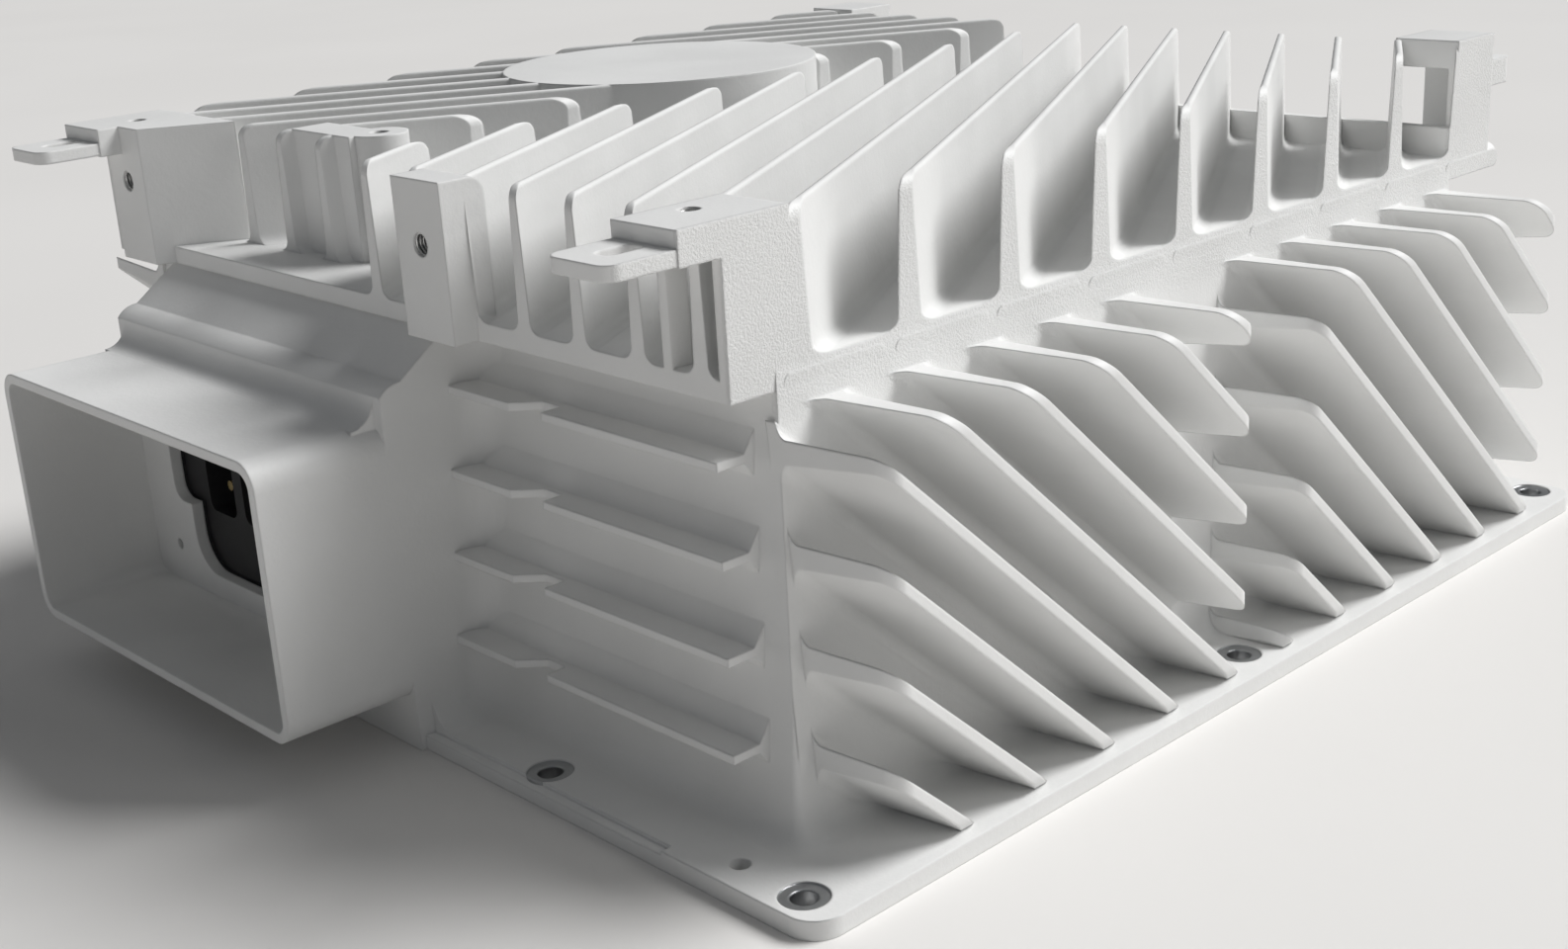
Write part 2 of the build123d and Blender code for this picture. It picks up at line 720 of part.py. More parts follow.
with BuildPart() as housing:
    # flange with its thinner rim between the corner pads
    with BuildSketch():
        RectangleRounded(flange_width, flange_length, flange_corner)
    extrude(amount=flange_thickness)
    rim_run = flange_width - 2 * corner_pad_length
    with BuildSketch(Plane.XY.offset(flange_thickness - rim_step_depth)):
        with Locations((0, -half_y + rim_step_width / 2)):
            Rectangle(rim_run, rim_step_width)
    extrude(amount=rim_step_depth, mode=Mode.SUBTRACT)
    # drafted walls with a large foot radius all round
    add(tapered_block(half_x - side_inset, front_y, rear_y, flange_thickness, deck_top, body_corner))
    foot_edges = housing.edges().filter_by_position(Axis.Z, flange_thickness - 0.01, flange_thickness + 0.01)
    foot_edges = [e for e in foot_edges if abs(e.center().X) < half_x - 15 and e.center().Y > front_y - 1]
    foot_edges = [e for e in foot_edges if e.center().Y < rear_y + 1]
    fillet(foot_edges, foot_radius)
    # deck band, hood bay and hood
    with BuildSketch(Plane.XY.offset(deck_bottom)):
        with Locations((0, (band_y + rear_band_y) / 2)):
            Rectangle(2 * side_x, rear_band_y - band_y)
    extrude(amount=band_height)
    add(bay())
    bay_edges = housing.edges().filter_by_position(Axis.Y, front_y, front_y + 12)
    bay_edges = [e for e in bay_edges if abs(abs(e.center().X - hood_centre) - hood_width / 2) < 0.1]
    bay_edges = [e for e in bay_edges if e.length > deck_bottom / 2]
    fillet(bay_edges, cove_radius)
    add(hood())
    add(hood_cove())
    add(side_pads())
    # fins
    add(top_fins(1))
    add(top_fins(-1))
    right_fins = side_fins()
    add(right_fins)
    add(mirror(right_fins, about=Plane.YZ, mode=Mode.PRIVATE))
    for height in end_fin_heights:
        add(wall_fin(height, True))
        add(wall_fin(height, False))
    # disc pad flush with the fin tips
    with BuildSketch(Plane.XY.offset(deck_top - 1)):
        with Locations((disc_x, disc_y)):
            Circle(disc_radius)
    extrude(amount=fin_reach + 1)
    # front corners, posts and the short middle boss
    add(corner_plate(1))
    add(corner_plate(-1))
    add(post(right_post_x, post_depth))
    add(slanted_post(left_post_x, left_post_depth))
    with BuildSketch(Plane.XY.offset(deck_top - 1)):
        with Locations((middle_boss_x, middle_boss_y)):
            Circle(middle_boss_radius)
        with Locations((middle_boss_x - boss_wall_length / 2, boss_wall_front + boss_wall_depth / 2)):
            Rectangle(boss_wall_length, boss_wall_depth)
    extrude(amount=fin_reach + 1)
    # rear corners: skin, top plate, ear and locating nub
    for side in (-1, 1):
        middle = side * (side_x - plate_width / 2)
        with BuildSketch(Plane.XY.offset(deck_top - 1)):
            with Locations((side * (side_x - corner_skin / 2), (far_plate_front + far_plate_rear) / 2)):
                Rectangle(corner_skin, far_plate_rear - far_plate_front)
            with Locations((middle, far_plate_rear - corner_skin / 2)):
                Rectangle(plate_width, corner_skin)
        extrude(amount=fin_reach + 1)
        with BuildSketch(Plane.XY.offset(far_lug_low + far_lug_thick)):
            with Locations((middle, (far_plate_front + far_plate_rear) / 2)):
                Rectangle(plate_width, far_plate_rear - far_plate_front)
        extrude(amount=overall_height - far_lug_low - far_lug_thick)
        tip = far_plate_rear + far_lug_length
        add(lug(middle, tip, far_plate_rear - 2, far_lug_low, far_lug_thick, far_slot_inset, far_slot_length))
        with BuildSketch(Plane.XZ.offset(-rear_band_y + 1)):
            with Locations((side * (side_x - nub_radius), deck_bottom + 1)):
                Circle(nub_radius)
        extrude(amount=-7)
    # low rib that ties the rear ends of the last fins together
    with BuildSketch(Plane.XY.offset(deck_top - 1)):
        with Locations((0, fin_rear_y - web / 2)):
            Rectangle(2 * side_x, web)
    extrude(amount=rear_rib_height + 1)
    # inside
    add(cavity(), mode=Mode.SUBTRACT)
    add(connector_opening(), mode=Mode.SUBTRACT)
    # bosses for the cover's screws
    with BuildSketch(Plane.XY.offset(cover_thickness)):
        with Locations(*cover_screw_places):
            Circle(cover_boss_radius)
    extrude(amount=cover_boss_top - cover_thickness)
    with BuildSketch(Plane.XY.offset(cover_thickness)):
        with Locations(*cover_screw_places):
            Circle(m4_radius)
    extrude(amount=cover_boss_top - cover_thickness - 3, mode=Mode.SUBTRACT)
    # pillars for the main board
    with BuildSketch(Plane.XY.offset(board_top)):
        with Locations(*pillar_places):
            Circle(pillar_radius)
    extrude(amount=roof_z - board_top + 1)
    with BuildSketch(Plane.XY.offset(board_top)):
        with Locations(*pillar_places):
            Circle(m4_radius)
    extrude(amount=thread_depth, mode=Mode.SUBTRACT)
    # rails for the power transistors, drilled for the clamp screws
    with BuildSketch(Plane.XY.offset(rail_bottom)):
        with Locations(*[(x, board_y) for x in rail_places]):
            Rectangle(rail_width, rail_length)
    extrude(amount=roof_z - rail_bottom + 1)
    for x in rail_places:
        with BuildSketch(Plane.YZ.offset(x + rail_width / 2)):
            with Locations(*[(board_y + y, transistor_z) for y in clamp_places]):
                Circle(m3_radius)
        extrude(amount=-clamp_screw_bite, mode=Mode.SUBTRACT)
    # blind holes for the connector insert's screws
    with BuildSketch(Plane.XZ.offset(-bay_y - bay_wall)):
        with Locations((hood_centre, carrier_z)):
            with GridLocations(carrier_hole_x, carrier_hole_z, 2, 2):
                Circle(m3_radius)
    extrude(amount=carrier_bite, mode=Mode.SUBTRACT)
    # tapped posts, corner plates and middle boss
    with BuildSketch(Plane.XZ.offset(-post_y)):
        with Locations((right_post_x, thread_height)):
            Circle(thread_radius)
    extrude(amount=-thread_depth, mode=Mode.SUBTRACT)
    with BuildSketch(Plane.XZ.offset(-left_post_y)):
        with Locations((left_post_x, thread_height)):
            Circle(thread_radius)
    extrude(amount=-thread_depth, mode=Mode.SUBTRACT)
    with BuildSketch(Plane.XY.offset(overall_height)):
        with Locations((-plate_hole_x, plate_hole_y), (plate_hole_x, plate_hole_y)):
            Circle(top_hole_radius)
    extrude(amount=-plate_thickness, mode=Mode.SUBTRACT)
    with BuildSketch(Plane.XY.offset(overall_height)):
        with Locations((middle_boss_x, middle_boss_y)):
            Circle(top_hole_radius)
    extrude(amount=-middle_boss_depth, mode=Mode.SUBTRACT)
    # fixing holes with their machined faces
    with BuildSketch():
        with Locations(*flange_holes):
            Circle(fixing_radius)
    extrude(amount=flange_thickness, mode=Mode.SUBTRACT)
    with BuildSketch(Plane.XY.offset(flange_thickness - spotface_depth)):
        with Locations(*flange_holes):
            Circle(spotface_radius)
    extrude(amount=foot_radius, mode=Mode.SUBTRACT)
    with BuildSketch():
        with Locations((half_x - hole_inset_x - earth_hole_offset, -half_y + hole_inset_y)):
            Circle(earth_hole_radius)
    extrude(amount=flange_thickness, mode=Mode.SUBTRACT)
    # small threaded holes beside the connector opening
    with BuildSketch(Plane.XZ.offset(-bay_y)):
        with Locations((hood_centre, insert_screw_height)):
            with GridLocations(insert_screw_spacing, 1, 2, 1):
                Circle(insert_screw_radius)
    extrude(amount=-bay_wall, mode=Mode.SUBTRACT)
housing.part.label = "housing"
export_step(housing.part, "parts/housing.step")


def box_at(width, length, height, places, bottom):
    """Equal upright boxes standing at one level."""
    with BuildPart(mode=Mode.PRIVATE) as group:
        with BuildSketch(Plane.XY.offset(bottom)):
            with Locations(*places):
                Rectangle(width, length)
        extrude(amount=height)
    return group.part


def hanging_screws(places, head_bottom, shank_radius, shank_length):
    """Pan-head screws driven upwards, with a hexagon socket in each head."""
    head_height = 1.1 * shank_radius
    with BuildPart(mode=Mode.PRIVATE) as group:
        with BuildSketch(Plane.XY.offset(head_bottom)):
            with Locations(*places):
                Circle(1.8 * shank_radius)
        extrude(amount=head_height)
        with BuildSketch(Plane.XY.offset(head_bottom)):
            with Locations(*places):
                RegularPolygon(0.7 * shank_radius, 6)
        extrude(amount=0.6 * head_height, mode=Mode.SUBTRACT)
        with BuildSketch(Plane.XY.offset(head_bottom + head_height)):
            with Locations(*places):
                Circle(shank_radius)
        extrude(amount=shank_length)
    return group.part


# ---- cover, seal and their screws ----
with BuildPart() as cover_plate:
    with BuildSketch():
        with Locations((0, cover_y)):
            RectangleRounded(cover_width, cover_length, cover_corner)
    extrude(amount=cover_thickness)
    with BuildSketch():
        with Locations(*cover_screw_places):
            Circle(m4_radius)
        with Locations((0, vent_y)):
            Circle(vent_radius)
    extrude(amount=cover_thickness, mode=Mode.SUBTRACT)
    for place in cover_screw_places:
        with BuildSketch():
            with Locations(place):
                Circle(cover_screw_head)
        extrude(amount=cover_screw_head - m4_radius, taper=45, mode=Mode.SUBTRACT)
cover_plate.part.label = "cover_plate"
export_step(cover_plate.part, "parts/cover_plate.step")

with BuildPart() as cover_gasket:
    with BuildSketch(Plane.XY.offset(cover_thickness)):
        with Locations((0, cover_y)):
            RectangleRounded(gasket_outer_x, gasket_outer_y, cover_corner)
            RectangleRounded(gasket_inner_x, gasket_inner_y, gasket_inner_corner, mode=Mode.SUBTRACT)
    extrude(amount=gasket_thickness)
cover_gasket.part.label = "cover_gasket"
export_step(cover_gasket.part, "parts/cover_gasket.step")

with BuildPart() as cover_screws:
    for place in cover_screw_places:
        with BuildSketch():
            with Locations(place):
                Circle(cover_screw_head)
        extrude(amount=cover_screw_head - m4_radius, taper=45)
    with BuildSketch():
        with Locations(*cover_screw_places):
            Circle(m4_radius)
    extrude(amount=cover_screw_length)
    with BuildSketch():
        with Locations(*cover_screw_places):
            RegularPolygon(1.5, 6)
    extrude(amount=1.6, mode=Mode.SUBTRACT)
cover_screws.part.label = "cover_screws"
export_step(cover_screws.part, "parts/cover_screws.step")

with BuildPart() as vent_membrane:
    with BuildSketch(Plane.XY.offset(cover_thickness)):
        with Locations((0, vent_y)):
            Circle(membrane_radius)
    extrude(amount=0.5)
vent_membrane.part.label = "vent_membrane"
export_step(vent_membrane.part, "parts/vent_membrane.step")

# ---- connector insert behind the hood opening ----
with BuildPart() as connector_carrier:
    with BuildSketch(Plane.XZ.offset(-carrier_y)):
        with Locations((hood_centre, carrier_z)):
            RectangleRounded(carrier_width, carrier_height, 4)
    extrude(amount=-carrier_thickness)
    with BuildSketch(Plane.XZ.offset(-carrier_y - carrier_thickness)):
        with Locations((hood_centre, carrier_z)):
            RectangleRounded(carrier_width - 16, carrier_height - 14, 4)
    extrude(amount=-carrier_depth)
    with BuildSketch(Plane.XZ.offset(-carrier_y)):
        with Locations((hood_centre, socket_z)):
            with GridLocations(socket_pitch, 1, socket_count, 1):
                RectangleRounded(socket_width, socket_height, 3)
    extrude(amount=-(carrier_thickness + carrier_depth - 4), mode=Mode.SUBTRACT)
    with BuildSketch(Plane.XZ.offset(-carrier_y)):
        with Locations((hood_centre, carrier_z)):
            with GridLocations(carrier_hole_x, carrier_hole_z, 2, 2):
                Circle(m3_radius)
    extrude(amount=-carrier_thickness, mode=Mode.SUBTRACT)
    with BuildSketch(Plane.XZ.offset(-carrier_y)):
        with Locations((hood_centre, socket_z)):
            with GridLocations(socket_pitch, 2 * pin_rise, socket_count, 2):
                Circle(pin_radius)
    extrude(amount=-(carrier_thickness + carrier_depth), mode=Mode.SUBTRACT)
connector_carrier.part.label = "connector_carrier"
export_step(connector_carrier.part, "parts/connector_carrier.step")

with BuildPart() as carrier_gasket:
    with BuildSketch(Plane.XZ.offset(-carrier_y + gasket_thickness)):
        with Locations((hood_centre, carrier_z)):
            RectangleRounded(carrier_width, carrier_height, 4)
        with Locations((hood_centre, (opening_bottom + opening_top) / 2)):
            RectangleRounded(opening_width, opening_top - opening_bottom, 11, mode=Mode.SUBTRACT)
        with Locations((hood_centre, (opening_shoulder_bottom + opening_shoulder_top) / 2)):
            RectangleRounded(opening_shoulder_width, opening_shoulder_top - opening_shoulder_bottom, 5,
                             mode=Mode.SUBTRACT)
        with Locations((hood_centre, carrier_z)):
            with GridLocations(carrier_hole_x, carrier_hole_z, 2, 2):
                Circle(m3_radius, mode=Mode.SUBTRACT)
    extrude(amount=-gasket_thickness)
carrier_gasket.part.label = "carrier_gasket"
export_step(carrier_gasket.part, "parts/carrier_gasket.step")

with BuildPart() as carrier_screws:
    with BuildSketch(Plane.XZ.offset(-carrier_y - carrier_thickness)):
        with Locations((hood_centre, carrier_z)):
            with GridLocations(carrier_hole_x, carrier_hole_z, 2, 2):
                Circle(2.7)
    extrude(amount=-2)
    with BuildSketch(Plane.XZ.offset(-carrier_y - carrier_thickness)):
        with Locations((hood_centre, carrier_z)):
            with GridLocations(carrier_hole_x, carrier_hole_z, 2, 2):
                Circle(m3_radius)
    extrude(amount=carrier_thickness + gasket_thickness + carrier_bite)
carrier_screws.part.label = "carrier_screws"
export_step(carrier_screws.part, "parts/carrier_screws.step")

with BuildPart() as contact_pins:
    for row in (-1, 1):
        foot_y = pin_foot_y + (row + 1) / 2 * pin_row_gap
        pin_z = socket_z + row * pin_rise
        with BuildSketch(Plane.XZ.offset(-carrier_y - 3)):
            with Locations(*[(hood_centre + x, pin_z) for x in socket_places]):
                Circle(pin_radius)
        extrude(amount=-(foot_y - carrier_y - 3 + pin_radius))
        with BuildSketch(Plane.XY.offset(board_top)):
            with Locations(*[(hood_centre + x, foot_y) for x in socket_places]):
                Circle(pin_radius)
        extrude(amount=pin_z - board_top)
contact_pins.part.label = "contact_pins"
export_step(contact_pins.part, "parts/contact_pins.step")

# ---- main board and what stands on it ----
with BuildPart() as main_board:
    with BuildSketch(Plane.XY.offset(board_top - board_thickness)):
        with Locations((0, board_y)):
            RectangleRounded(board_width, board_length, 5)
        with Locations(*pillar_places):
            Circle(m4_radius, mode=Mode.SUBTRACT)
        with Locations(*control_places):
            Circle(m3_radius, mode=Mode.SUBTRACT)
    extrude(amount=board_thickness)
main_board.part.label = "main_board"
export_step(main_board.part, "parts/main_board.step")

with BuildPart() as board_screws:
    head_low = board_top - board_thickness - 1.1 * m4_radius
    add(hanging_screws(pillar_places, head_low, m4_radius, board_thickness + 8))
board_screws.part.label = "board_screws"
export_step(board_screws.part, "parts/board_screws.step")

with BuildPart() as transformer_cores:
    for x, y in transformer_places:
        with BuildSketch(Plane.XZ.offset(-y + core_depth / 2)):
            with Locations((x, core_bottom + core_height / 2)):
                RectangleRounded(core_width, core_height, 2)
                with Locations((-window_x, 0), (window_x, 0)):
                    Rectangle(window_width, window_height, mode=Mode.SUBTRACT)
        extrude(amount=-core_depth)
transformer_cores.part.label = "transformer_cores"
export_step(transformer_cores.part, "parts/transformer_cores.step")

with BuildPart() as transformer_bobbins:
    for x, y in transformer_places:
        with BuildSketch(Plane.XY.offset(core_bottom + (core_height - window_height) / 2)):
            with Locations((x, y)):
                Rectangle(leg_width + 4, core_depth + 4)
                Rectangle(leg_width, core_depth, mode=Mode.SUBTRACT)
        extrude(amount=window_height)
        for low in (0, window_height - 2):
            with BuildSketch(Plane.XY.offset(core_bottom + (core_height - window_height) / 2 + low)):
                with Locations((x, y)):
                    Rectangle(leg_width + 2 * window_width, core_depth + 2 * window_width)
                    Rectangle(leg_width, core_depth, mode=Mode.SUBTRACT)
            extrude(amount=2)
        with BuildSketch(Plane.XY.offset(board_top)):
            with Locations((x, y)):
                with GridLocations(leg_width, core_depth + 1.6 * window_width, 2, 2):
                    Rectangle(6, 4)
        extrude(amount=core_bottom - board_top + (core_height - window_height) / 2)
transformer_bobbins.part.label = "transformer_bobbins"
export_step(transformer_bobbins.part, "parts/transformer_bobbins.step")

with BuildPart() as transformer_windings:
    for x, y in transformer_places:
        with BuildSketch(Plane.XY.offset(core_bottom + (core_height - window_height) / 2 + 2)):
            with Locations((x, y)):
                RectangleRounded(leg_width + 2 * window_width - 3, core_depth + 2 * window_width - 3, 6)
                Rectangle(leg_width + 4, core_depth + 4, mode=Mode.SUBTRACT)
        extrude(amount=window_height - 4)
transformer_windings.part.label = "transformer_windings"
export_step(transformer_windings.part, "parts/transformer_windings.step")

with BuildPart() as core_pads:
    top = core_bottom + core_height
    add(box_at(core_width, core_depth, roof_z - top, transformer_places, top))
core_pads.part.label = "core_pads"
export_step(core_pads.part, "parts/core_pads.step")

with BuildPart() as choke_cores:
    with BuildSketch(Plane.XY.offset(board_top + choke_wire)):
        with Locations(*choke_places):
            Circle(choke_outer)
            Circle(choke_inner, mode=Mode.SUBTRACT)
    extrude(amount=choke_height)
choke_cores.part.label = "choke_cores"
export_step(choke_cores.part, "parts/choke_cores.step")

with BuildPart() as choke_windings:
    middle = (choke_outer + choke_inner) / 2
    ring = choke_outer - choke_inner
    with BuildSketch(Plane.XZ):
        with Locations((middle, board_top + choke_wire + choke_height / 2)):
            RectangleRounded(ring + 2 * choke_wire, choke_height + 2 * choke_wire, choke_wire)
            Rectangle(ring + 2 * winding_gap, choke_height, mode=Mode.SUBTRACT)
    loop = extrude(amount=choke_wire / 2, both=True, mode=Mode.PRIVATE)
    for place in choke_places:
        for k in range(choke_turns):
            add(Location((*place, 0)) * Rot(Z=360 * k / choke_turns) * loop)
choke_windings.part.label = "choke_windings"
export_step(choke_windings.part, "parts/choke_windings.step")

with BuildPart() as bulk_capacitors:
    with BuildSketch(Plane.XY.offset(board_top)):
        with Locations(*bulk_places):
            Circle(bulk_radius)
    extrude(amount=bulk_height)
    fillet(bulk_capacitors.edges().filter_by(GeomType.CIRCLE), 1.5)
    with BuildSketch(Plane.XY.offset(board_top + 4)):
        with Locations(*bulk_places):
            Circle(bulk_radius)
            Circle(bulk_radius - 0.8, mode=Mode.SUBTRACT)
    extrude(amount=1.5, mode=Mode.SUBTRACT)
bulk_capacitors.part.label = "bulk_capacitors"
export_step(bulk_capacitors.part, "parts/bulk_capacitors.step")

with BuildPart() as film_capacitors:
    add(box_at(film_width, film_length, film_height, film_places, board_top))
    fillet(film_capacitors.edges().filter_by(Axis.Z), 1)
film_capacitors.part.label = "film_capacitors"
export_step(film_capacitors.part, "parts/film_capacitors.step")

with BuildPart() as relays:
    add(box_at(relay_width, relay_length, relay_height, relay_places, board_top))
    fillet(relays.edges().filter_by(Axis.Z), 0.8)
relays.part.label = "relays"
export_step(relays.part, "parts/relays.step")

with BuildPart() as varistors:
    for x, y in varistor_places:
        with BuildSketch(Plane.XZ.offset(-y + 2)):
            with Locations((x, board_top + varistor_radius + 3)):
                Circle(varistor_radius)
            with Locations((x - 3.5, board_top + 4), (x + 3.5, board_top + 4)):
                Rectangle(1, 8)
        extrude(amount=-4)
varistors.part.label = "varistors"
export_step(varistors.part, "parts/varistors.step")

with BuildPart() as fuse_holders:
    add(box_at(fuse_length, 10, 5, fuse_places, board_top))
    for x, y in fuse_places:
        with BuildSketch(Plane.YZ.offset(x - fuse_length / 2)):
            with Locations((y, board_top + 6)):
                Circle(fuse_radius)
        extrude(amount=fuse_length, mode=Mode.SUBTRACT)
fuse_holders.part.label = "fuse_holders"
export_step(fuse_holders.part, "parts/fuse_holders.step")

with BuildPart() as fuses:
    for x, y in fuse_places:
        with BuildSketch(Plane.YZ.offset(x - fuse_length / 2)):
            with Locations((y, board_top + 6)):
                Circle(fuse_radius)
        extrude(amount=fuse_length)
fuses.part.label = "fuses"
export_step(fuses.part, "parts/fuses.step")

with BuildPart() as current_sensors:
    for x, y in sensor_places:
        with BuildSketch(Plane.YZ.offset(x - 5)):
            with Locations((y, board_top + 12)):
                RectangleRounded(20, 24, 2)
                Circle(5, mode=Mode.SUBTRACT)
        extrude(amount=10)
current_sensors.part.label = "current_sensors"
export_step(current_sensors.part, "parts/current_sensors.step")

with BuildPart() as terminal_blocks:
    add(box_at(terminal_width, 16, 20, terminal_places, board_top))
    for x, y in terminal_places:
        with BuildSketch(Plane.XZ.offset(-y + 8)):
            with Locations((x, board_top + 8)):
                with GridLocations(10, 1, 4, 1):
                    Rectangle(6, 7)
        extrude(amount=-10, mode=Mode.SUBTRACT)
terminal_blocks.part.label = "terminal_blocks"
export_step(terminal_blocks.part, "parts/terminal_blocks.step")

# ---- power stage against the cast rails ----
with BuildPart() as transistor_pads:
    for x in rail_places:
        with BuildSketch(Plane.YZ.offset(x + rail_width / 2)):
            with Locations((board_y, transistor_z)):
                Rectangle(rail_length, transistor_height)
                with GridLocations(transistor_pitch, 1, transistor_count - 1, 1):
                    Circle(m3_radius, mode=Mode.SUBTRACT)
        extrude(amount=pad_thickness)
transistor_pads.part.label = "transistor_pads"
export_step(transistor_pads.part, "parts/transistor_pads.step")

with BuildPart() as power_transistors:
    for x in rail_places:
        with BuildSketch(Plane.YZ.offset(x + rail_width / 2 + pad_thickness)):
            with Locations((board_y, transistor_z)):
                with GridLocations(transistor_pitch, 1, transistor_count, 1):
                    Rectangle(transistor_width, transistor_height)
        extrude(amount=transistor_thickness)
        with BuildSketch(Plane.XY.offset(board_top)):
            with Locations((x + rail_width / 2 + pad_thickness + transistor_thickness / 2, board_y)):
                with GridLocations(1, transistor_pitch, 1, transistor_count):
                    with GridLocations(1, 5.4, 1, 3):
                        Rectangle(0.8, 1.2)
        extrude(amount=transistor_z - transistor_height / 2 - board_top + 1)
power_transistors.part.label = "power_transistors"
export_step(power_transistors.part, "parts/power_transistors.step")

with BuildPart() as clamp_bars:
    for x in rail_places:
        with BuildSketch(Plane.YZ.offset(x + rail_width / 2 + pad_thickness + transistor_thickness)):
            with Locations((board_y, transistor_z)):
                Rectangle(rail_length, clamp_width)
                with GridLocations(transistor_pitch, 1, transistor_count - 1, 1):
                    Circle(m3_radius, mode=Mode.SUBTRACT)
        extrude(amount=clamp_thickness)
clamp_bars.part.label = "clamp_bars"
export_step(clamp_bars.part, "parts/clamp_bars.step")

with BuildPart() as clamp_screws:
    stack = pad_thickness + transistor_thickness + clamp_thickness
    for x in rail_places:
        with BuildSketch(Plane.YZ.offset(x + rail_width / 2 + stack)):
            with Locations(*[(board_y + y, transistor_z) for y in clamp_places]):
                Circle(2.7)
        extrude(amount=2)
        with BuildSketch(Plane.YZ.offset(x + rail_width / 2 + stack)):
            with Locations(*[(board_y + y, transistor_z) for y in clamp_places]):
                Circle(m3_radius)
        extrude(amount=-(stack + clamp_screw_bite))
clamp_screws.part.label = "clamp_screws"
export_step(clamp_screws.part, "parts/clamp_screws.step")

# ---- control board under the main board ----
with BuildPart() as control_standoffs:
    low = control_top
    with BuildSketch(Plane.XY.offset(low)):
        with Locations(*control_places):
            RegularPolygon(3.2, 6)
    extrude(amount=control_standoff)
    with BuildSketch(Plane.XY.offset(low)):
        with Locations(*control_places):
            Circle(m3_radius)
    extrude(amount=6, mode=Mode.SUBTRACT)
    with BuildSketch(Plane.XY.offset(low + control_standoff)):
        with Locations(*control_places):
            Circle(m3_radius)
    extrude(amount=board_thickness + 2.4)
control_standoffs.part.label = "control_standoffs"
export_step(control_standoffs.part, "parts/control_standoffs.step")

with BuildPart() as standoff_nuts:
    with BuildSketch(Plane.XY.offset(board_top)):
        with Locations(*control_places):
            RegularPolygon(3.2, 6)
            Circle(m3_radius, mode=Mode.SUBTRACT)
    extrude(amount=2.4)
standoff_nuts.part.label = "standoff_nuts"
export_step(standoff_nuts.part, "parts/standoff_nuts.step")

with BuildPart() as control_screws:
    head_low = control_top - board_thickness - 1.1 * m3_radius
    add(hanging_screws(control_places, head_low, m3_radius, board_thickness + 5))
control_screws.part.label = "control_screws"
export_step(control_screws.part, "parts/control_screws.step")

with BuildPart() as control_board:
    with BuildSketch(Plane.XY.offset(control_top - board_thickness)):
        with Locations((control_x, control_y)):
            RectangleRounded(control_width, control_length, 3)
        with Locations(*control_places):
            Circle(m3_radius, mode=Mode.SUBTRACT)
    extrude(amount=board_thickness)
control_board.part.label = "control_board"
export_step(control_board.part, "parts/control_board.step")

with BuildPart() as control_chips:
    for dx, dy, side in chip_places:
        with BuildSketch(Plane.XY.offset(control_top - board_thickness)):
            with Locations((control_x + dx, control_y + dy)):
                Rectangle(side, side)
        extrude(amount=-1.6)
control_chips.part.label = "control_chips"
export_step(control_chips.part, "parts/control_chips.step")

with BuildPart() as radio_module:
    with BuildSketch(Plane.XY.offset(control_top - board_thickness)):
        with Locations((control_x + 34, control_y - 18)):
            Rectangle(24, 18)
    extrude(amount=-3)
radio_module.part.label = "radio_module"
export_step(radio_module.part, "parts/radio_module.step")

with BuildPart() as board_header:
    low = control_top
    with BuildSketch(Plane.XY.offset(low)):
        with Locations((control_x, control_y + control_length / 2 - 6)):
            Rectangle(42, 5)
    extrude(amount=control_standoff)
board_header.part.label = "board_header"
export_step(board_header.part, "parts/board_header.step")
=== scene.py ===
# %% [markdown]
# # A cast inverter housing, from bare frame to finished powder coat
# The object is one large aluminium die-casting that lies on its flange: chevron fins on
# top, slanted fins on both sides, short fins and a connector hood at the front.  Behind
# the cover sit the boards and magnetics.  The first cell brings in the measured pieces;
# the rest of this lesson gives them their finishes and adds the marks a machinist leaves behind:
# thread turns in the tapped holes and turned seats round the plain ones.

# %% Load the measured pieces
import json
import math

import bmesh
import bpy
from mathutils import Matrix, Vector


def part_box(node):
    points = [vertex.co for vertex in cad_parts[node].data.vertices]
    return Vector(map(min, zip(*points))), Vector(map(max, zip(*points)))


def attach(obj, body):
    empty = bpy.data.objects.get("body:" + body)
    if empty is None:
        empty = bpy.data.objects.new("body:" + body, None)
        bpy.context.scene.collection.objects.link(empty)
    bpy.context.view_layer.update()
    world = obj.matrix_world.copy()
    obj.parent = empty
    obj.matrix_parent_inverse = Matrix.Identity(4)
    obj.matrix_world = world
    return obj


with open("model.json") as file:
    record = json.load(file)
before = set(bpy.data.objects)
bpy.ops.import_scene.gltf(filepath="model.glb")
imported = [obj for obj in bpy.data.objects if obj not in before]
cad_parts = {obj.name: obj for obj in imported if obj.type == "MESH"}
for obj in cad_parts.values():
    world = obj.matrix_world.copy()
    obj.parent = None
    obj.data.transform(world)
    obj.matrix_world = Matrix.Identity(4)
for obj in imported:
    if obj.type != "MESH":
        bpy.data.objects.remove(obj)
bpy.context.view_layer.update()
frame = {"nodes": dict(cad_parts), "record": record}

# %% [markdown]
# Millimetres are easier to think in than metres here, so the sizes of the object are
# written as millimetres times one small constant.  The floor and the lights, which are
# far bigger or farther off, stay in metres.  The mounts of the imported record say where
# each hole is, which saves measuring them again.

# %% Units and the places of the holes
MM = 0.001
housing_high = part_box("housing")[1]
mounts = {mount["name"]: mount for mount in frame["record"]["mounts"]}


def mount_place(name):
    """A mount's point as a vector in metres."""
    return Vector(mounts[name]["pos_m"])


def pattern_places(name):
    """Every hole centre of a rectangle or line pattern that lies flat in X and Y."""
    centre = mount_place(name)
    dims = mounts[name]["dims"]
    half_x = dims.get("spacing_x_mm", 0) / 2 * MM
    half_y = dims.get("spacing_y_mm", 0) / 2 * MM
    xs = (-half_x, half_x) if half_x else (0.0,)
    ys = (-half_y, half_y) if half_y else (0.0,)
    return [centre + Vector((x, y, 0)) for x in xs for y in ys]


